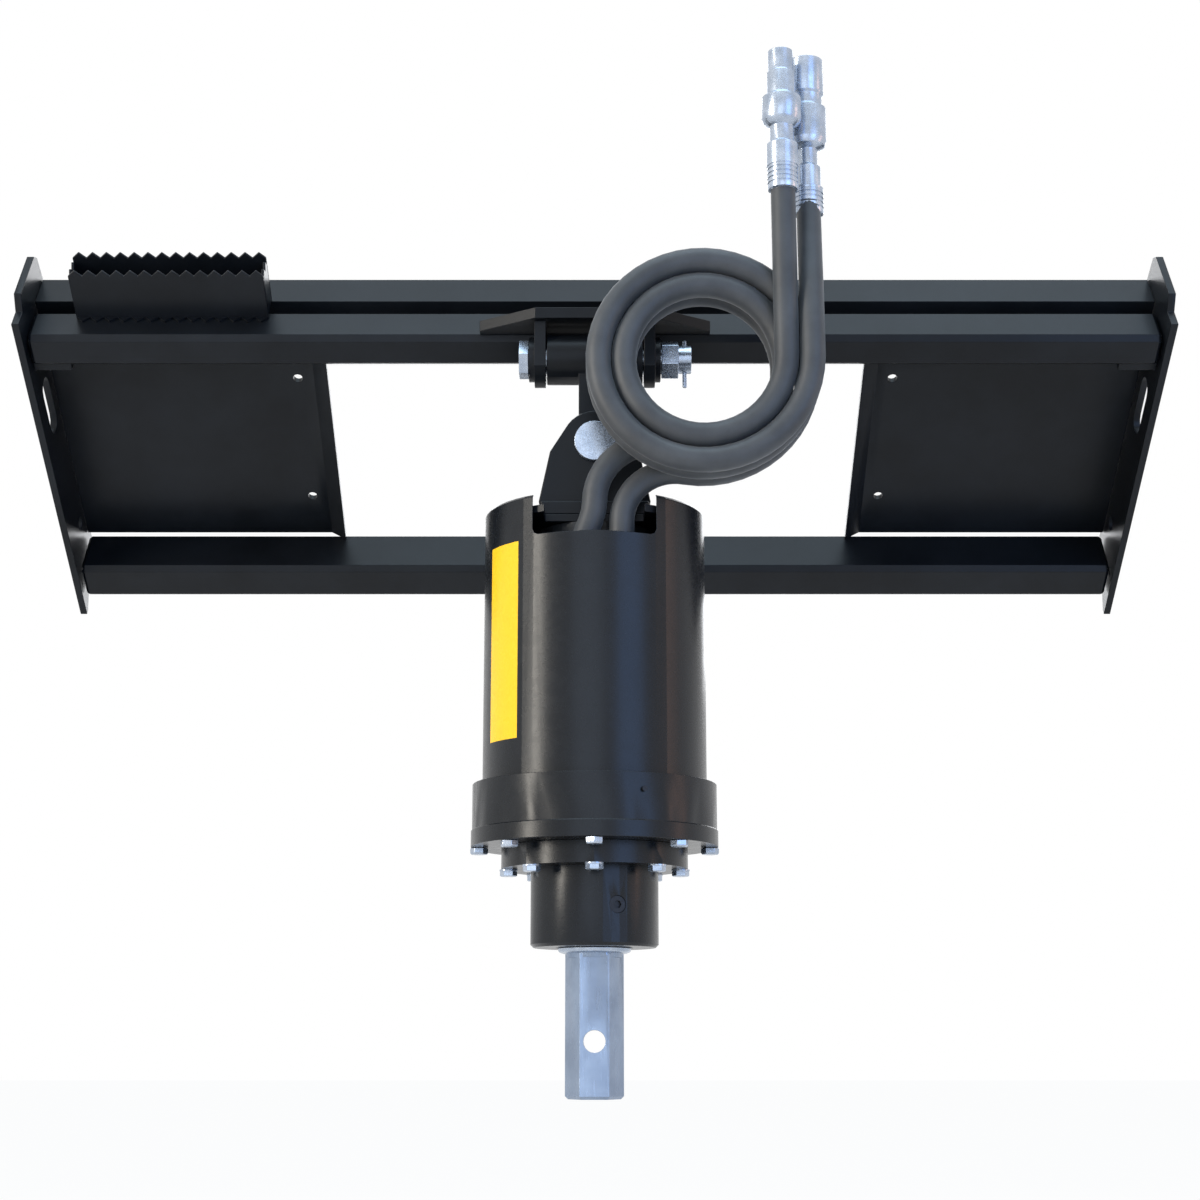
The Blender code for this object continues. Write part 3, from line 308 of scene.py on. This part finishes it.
def striped_enamel():
    """The hood's enamel with a plain yellow stripe down its left side."""
    made = ENAMEL.copy()
    made.name = "hood_enamel_striped"
    tree = made.node_tree
    shader = tree.nodes["Principled BSDF"]
    low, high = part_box("motor_hood")
    centre = (low + high) / 2
    place = tree.nodes.new("ShaderNodeTexCoord")
    split = tree.nodes.new("ShaderNodeSeparateXYZ")
    tree.links.new(place.outputs["Object"], split.inputs["Vector"])
    height = split.outputs["Z"]
    across = calc(tree, "SUBTRACT", split.outputs["X"], centre.x)
    toward = calc(tree, "SUBTRACT", centre.y, split.outputs["Y"])
    turn = calc(tree, "ARCTAN2", across, toward)
    inside = calc(tree, "GREATER_THAN", turn, -STRIPE_TO)
    for test, value, limit in (("LESS_THAN", turn, -STRIPE_FROM),
                               ("GREATER_THAN", height, low.z + STRIPE_ABOVE),
                               ("LESS_THAN", height, high.z - STRIPE_BELOW)):
        inside = calc(tree, "MULTIPLY", inside, calc(tree, test, value, limit))
    mix = tree.nodes.new("ShaderNodeMix")
    mix.data_type = "RGBA"
    paint = shader.inputs["Base Color"].links[0].from_socket
    tree.links.new(inside, mix.inputs["Factor"])
    tree.links.new(paint, mix.inputs["A"])
    mix.inputs["B"].default_value = STRIPE_COLOUR
    tree.links.new(mix.outputs["Result"], shader.inputs["Base Color"])
    return made


def camera():
    """The view of the photograph."""
    data = bpy.data.cameras.new("camera")
    data.lens = LENS
    data.sensor_width = SENSOR
    data.clip_end = CAMERA_REACH
    viewer = link_object("camera", data)
    viewer.location = CAMERA_AT
    viewer.rotation_euler = (CAMERA_PITCH, 0, 0)
    bpy.context.scene.camera = viewer
    bpy.context.scene.view_settings.view_transform = "Standard"


def lamps():
    """Soft lamps, all turned to the drive."""
    for name, place, width, height, power, colour in LAMPS:
        data = bpy.data.lights.new(name, "AREA")
        data.shape = "RECTANGLE"
        data.size = width
        data.size_y = height
        data.energy = power
        data.color = colour
        lamp = link_object(name, data)
        lamp.location = place
        aim = LAMPS_AIM - Vector(place)
        lamp.rotation_euler = aim.to_track_quat("-Z", "Y").to_euler()


def seen_directly(tree):
    """1 for the rays that show the background, straight or in metal and glass."""
    path = tree.nodes.new("ShaderNodeLightPath")
    seen = path.outputs["Is Camera Ray"]
    for ray in ("Is Transmission Ray", "Is Glossy Ray"):
        seen = calc(tree, "MAXIMUM", seen, path.outputs[ray])
    return seen


def world():
    """Soft light from all round, behind a plain white background."""
    made = bpy.data.worlds.new("studio")
    bpy.context.scene.world = made
    made.use_nodes = True
    tree = made.node_tree
    soft = tree.nodes["Background"]
    place = tree.nodes.new("ShaderNodeTexCoord")
    split = tree.nodes.new("ShaderNodeSeparateXYZ")
    tree.links.new(place.outputs["Generated"], split.inputs["Vector"])
    rise = spread(tree, split.outputs["Z"], 0, 1, -1, 1)
    tree.links.new(ramp(tree, rise, *SKY), soft.inputs["Color"])
    plain = tree.nodes.new("ShaderNodeBackground")
    plain.inputs["Color"].default_value = WHITE
    plain.inputs["Strength"].default_value = 1.0
    choice = tree.nodes.new("ShaderNodeMixShader")
    tree.links.new(seen_directly(tree), choice.inputs["Fac"])
    tree.links.new(soft.outputs["Background"], choice.inputs[1])
    tree.links.new(plain.outputs["Background"], choice.inputs[2])
    tree.links.new(choice.outputs["Shader"], tree.nodes["World Output"].inputs["Surface"])


def floor():
    """A pale floor that fades into the background and keeps some of the shadow."""
    mesh_data = bmesh.new()
    bmesh.ops.create_grid(mesh_data, x_segments=1, y_segments=1, size=FLOOR_HALF)
    made = mesh_object("floor", mesh_data)
    made.location = (0, 0, FLOOR_Z)
    pale, tree, shader = node_graph("pale_floor")
    shader.inputs["Base Color"].default_value = FLOOR_COLOUR
    shader.inputs["Roughness"].default_value = FLOOR_ROUGH
    glow = tree.nodes.new("ShaderNodeEmission")
    glow.inputs["Color"].default_value = WHITE
    glow.inputs["Strength"].default_value = 1.0
    both = tree.nodes.new("ShaderNodeMixShader")
    share = calc(tree, "MULTIPLY", seen_directly(tree), FLOOR_GLOW_SHARE)
    tree.links.new(share, both.inputs["Fac"])
    tree.links.new(shader.outputs["BSDF"], both.inputs[1])
    tree.links.new(glow.outputs["Emission"], both.inputs[2])
    tree.links.new(both.outputs["Shader"], tree.nodes["Material Output"].inputs["Surface"])
    made.data.materials.append(pale)


def smooth(obj):
    """Smooth shading, with the sharp edges kept."""
    obj.data.shade_smooth()
    obj.data.set_sharp_from_angle(angle=SHARP_FROM)
    return obj


def paint(obj, material):
    """Gives the object this one material."""
    obj.data.materials.clear()
    obj.data.materials.append(material)


def ride(obj, body, slot, material=None):
    """Puts the piece on its body and gives it the finish of a record slot."""
    paint(obj, material or SLOT_MATERIALS[slot])
    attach(obj, body)
    return obj


def dressed(node):
    """The node's solid with flat faces joined and edges rounded, as a piece that stands for it."""
    mesh_data = bmesh.new()
    mesh_data.from_mesh(NODES[node].data)
    mesh_data.transform(NODES[node].matrix_world)
    bmesh.ops.remove_doubles(mesh_data, verts=mesh_data.verts, dist=WELD)
    bmesh.ops.dissolve_limit(mesh_data, angle_limit=FLAT_WITHIN, verts=mesh_data.verts,
                             edges=mesh_data.edges)
    made = mesh_object(f"{node}_finish", mesh_data)
    edges = made.modifiers.new("edges", "BEVEL")
    edges.width = next((width for start, width in EDGES.items() if node.startswith(start)), EDGE) * MM
    edges.segments = EDGE_STEPS
    edges.limit_method = "ANGLE"
    edges.angle_limit = SHARP_FROM
    edges.harden_normals = True
    ride(smooth(made), BODY_OF[node], SLOT_OF[node])
    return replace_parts(made, node)


def lathe(name, profile, sides, slot, stand, material=None):
    """A turned piece of the drive: an outline of (radius, height) round the stand's Z axis."""
    mesh_data = bmesh.new()
    rings = []
    for radius, height in profile:
        if radius < WELD:
            rings.append([mesh_data.verts.new((0, 0, height))])
            continue
        rings.append([mesh_data.verts.new((radius * math.cos(math.tau * i / sides),
                                           radius * math.sin(math.tau * i / sides), height))
                      for i in range(sides)])
    for low, high in zip(rings, rings[1:]):
        for i in range(sides):
            corners = [low[i % len(low)], low[(i + 1) % len(low)],
                       high[(i + 1) % len(high)], high[i % len(high)]]
            mesh_data.faces.new(list(dict.fromkeys(corners)))
    bmesh.ops.recalc_face_normals(mesh_data, faces=mesh_data.faces)
    mesh_data.transform(stand)
    return ride(smooth(mesh_object(name, mesh_data)), "drive", slot, material)


def outline(points, out=0.0):
    """An outline in millimetres as one in metres, moved out by a radius."""
    return [(out + radius * MM, height * MM) for radius, height in points]


def between(low, high, share):
    """The value at this share of the way."""
    return low + (high - low) * share


def eased(share):
    """The share with a soft start and end."""
    return share * share * (3 - 2 * share)


def shares(count):
    """Even shares from 0 up to, but not at, 1."""
    return [step / count for step in range(count)]


def hose_route(index):
    """The hose's line from its motor fitting, round the coil and up to its coupler."""
    turn_r, entry_r, entry_x = TURNS_R[index], ENTRY_R[index], ENTRY_X[index]
    first_y, last_y = FIRST_Y[index], LAST_Y[index]
    across = COIL_X - entry_x - entry_r
    entry_z = COIL_Z - math.sqrt((entry_r + turn_r) ** 2 - across ** 2)
    foot_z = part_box(f"motor_fitting_{SIDES[index]}")[1].z - PIVOT.z
    top_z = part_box(f"hose_coupler_{SIDES[index]}")[0].z - PIVOT.z + INTO_COUPLER
    toward = math.atan2(COIL_Z - entry_z, across)
    begin = toward + math.pi
    end = math.tau * (1 + TURNS)
    points = []
    for share in shares(FOOT_POINTS):
        points.append((between(FOOT_X[index], entry_x, eased(share)), FOOT_Y,
                       between(foot_z, entry_z, share)))
    for share in shares(ENTRY_POINTS):
        angle = between(math.pi, toward, share)
        points.append((entry_x + entry_r + entry_r * math.cos(angle),
                       between(FOOT_Y, first_y, eased(share)),
                       entry_z + entry_r * math.sin(angle)))
    for share in shares(COIL_POINTS):
        angle = between(begin, end, share)
        points.append((COIL_X + turn_r * math.cos(angle), between(first_y, last_y, share),
                       COIL_Z + turn_r * math.sin(angle)))
    for share in (*shares(RUN_POINTS), 1):
        points.append((between(COIL_X + turn_r, RUN_X[index], eased(share)),
                       between(last_y, RUN_Y[index], eased(share)), between(COIL_Z, top_z, share)))
    return [PIVOT + Vector(point) for point in points]


def make_hose(side, points, coupler_pieces):
    """The hose as a round curve along its points, ending in its coupler."""
    curve = bpy.data.curves.new(f"hose_{side}", "CURVE")
    curve.dimensions = "3D"
    curve.bevel_depth = HOSE_R
    curve.bevel_resolution = HOSE_ROUNDING
    curve.use_fill_caps = True
    line = curve.splines.new("POLY")
    line.points.add(len(points) - 1)
    for point, spot in zip(line.points, points):
        point.co = (*spot, 1)
    line.use_smooth = True
    hose = link_object(f"hose_{side}", curve)
    hose.data.materials.append(RUBBER)
    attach(hose, "drive")
    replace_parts(hose, f"hose_lower_{side}", f"hose_upper_{side}", "hose_coil")


def sleeve(side, top):
    """The crimped sleeve between the hose's upper end and its coupler."""
    crimps = [(out, up + CRIMP_PITCH * ring) for ring in range(SLEEVE_CRIMPS)
              for out, up in SLEEVE_CRIMP]
    profile = outline([*SLEEVE_START, *crimps, *SLEEVE_END], HOSE_R)
    low_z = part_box(f"hose_coupler_{side}")[0].z - SLEEVE_BELOW
    return lathe(f"sleeve_top_{side}", profile, SLEEVE_SIDES, "zinc",
                 Matrix.Translation((top.x, top.y, low_z)))


def hoses():
    """Both hoses, with their couplers and sleeves."""
    for index, side in enumerate(SIDES):
        coupler = dressed(f"hose_coupler_{side}")
        points = hose_route(index)
        make_hose(side, points, [coupler, sleeve(side, points[-1])])


def cover_bolt_heads():
    """Bright zinc washers and hexagon heads on the bearing cover's bolts."""
    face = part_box("bearing_cover")[0].z + NOSE_HEIGHT
    for index in range(COVER_BOLTS):
        angle = math.tau * index / COVER_BOLTS - math.pi / 2
        stand = Matrix.Translation((PIVOT.x + COVER_CIRCLE * math.cos(angle),
                                    PIVOT.y + COVER_CIRCLE * math.sin(angle), face))
        lathe(f"cover_bolt_washer_{index + 1}", outline(WASHER), WASHER_SIDES, "zinc", stand)
        lathe(f"cover_bolt_head_{index + 1}", outline(HEAD), HEAD_SIDES, "zinc", stand)


def flange_dimple_shade():
    """A small black disc on the flange's front, whose black is painted shade that stands for a
    dimple.
    """
    low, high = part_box("gear_case")
    flange_r = (high.x - low.x) / 2
    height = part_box("motor_hood")[0].z - DIMPLE_BELOW_HOOD
    stand = (Matrix.Translation((PIVOT.x, PIVOT.y, 0)) @ Matrix.Rotation(DIMPLE_TURN, 4, "Z")
             @ Matrix.Translation((0, -flange_r, height)) @ Matrix.Rotation(-math.pi / 2, 4, "X"))
    # The disc's black is painted shade for the dimple's hollow, not a colour of the flange
    lathe("flange_dimple_shade", outline(DIMPLE), DIMPLE_SIDES, "iron", stand, SCREW_BLACK_AND_SHADE)


def step_foot_teeth():
    """The toothed foot at the base of the step's front strip, one prism to a tooth."""
    low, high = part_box("step_front_strip")
    pitch = (high.x - low.x) / STEP_TEETH
    mesh_data = bmesh.new()
    for index in range(STEP_TEETH):
        corners = []
        for lift in FOOT_FACES:
            base = FOOT_AT + FOOT_UP * lift
            for share, out in zip(TOOTH_SHARES, (0, TOOTH_REACH, 0)):
                along = Vector((low.x + pitch * (index + share), 0, 0))
                corners.append(mesh_data.verts.new(along + base + FOOT_OUT * out))
        mesh_data.faces.new(corners[:3])
        mesh_data.faces.new(corners[3:])
        for a, b in ((0, 1), (1, 2), (2, 0)):
            mesh_data.faces.new((corners[a], corners[b], corners[b + 3], corners[a + 3]))
    bmesh.ops.recalc_face_normals(mesh_data, faces=mesh_data.faces)
    ride(mesh_object("step_foot_teeth", mesh_data), BODY_OF["step_front_strip"], "black_paint")


camera()
lamps()
world()
floor()
cover_bolt_heads()
flange_dimple_shade()
step_foot_teeth()
for node in NODES:
    if node in HIDDEN:
        paint(NODES[node], SLOT_MATERIALS[SLOT_OF[node]])
    elif node not in SOFT and not node.startswith("hose_coupler"):
        piece = dressed(node)
        if node == "motor_hood":
            paint(piece, striped_enamel())
        elif node == "oil_plug":
            paint(piece, SCREW_BLACK_AND_SHADE)
hoses()
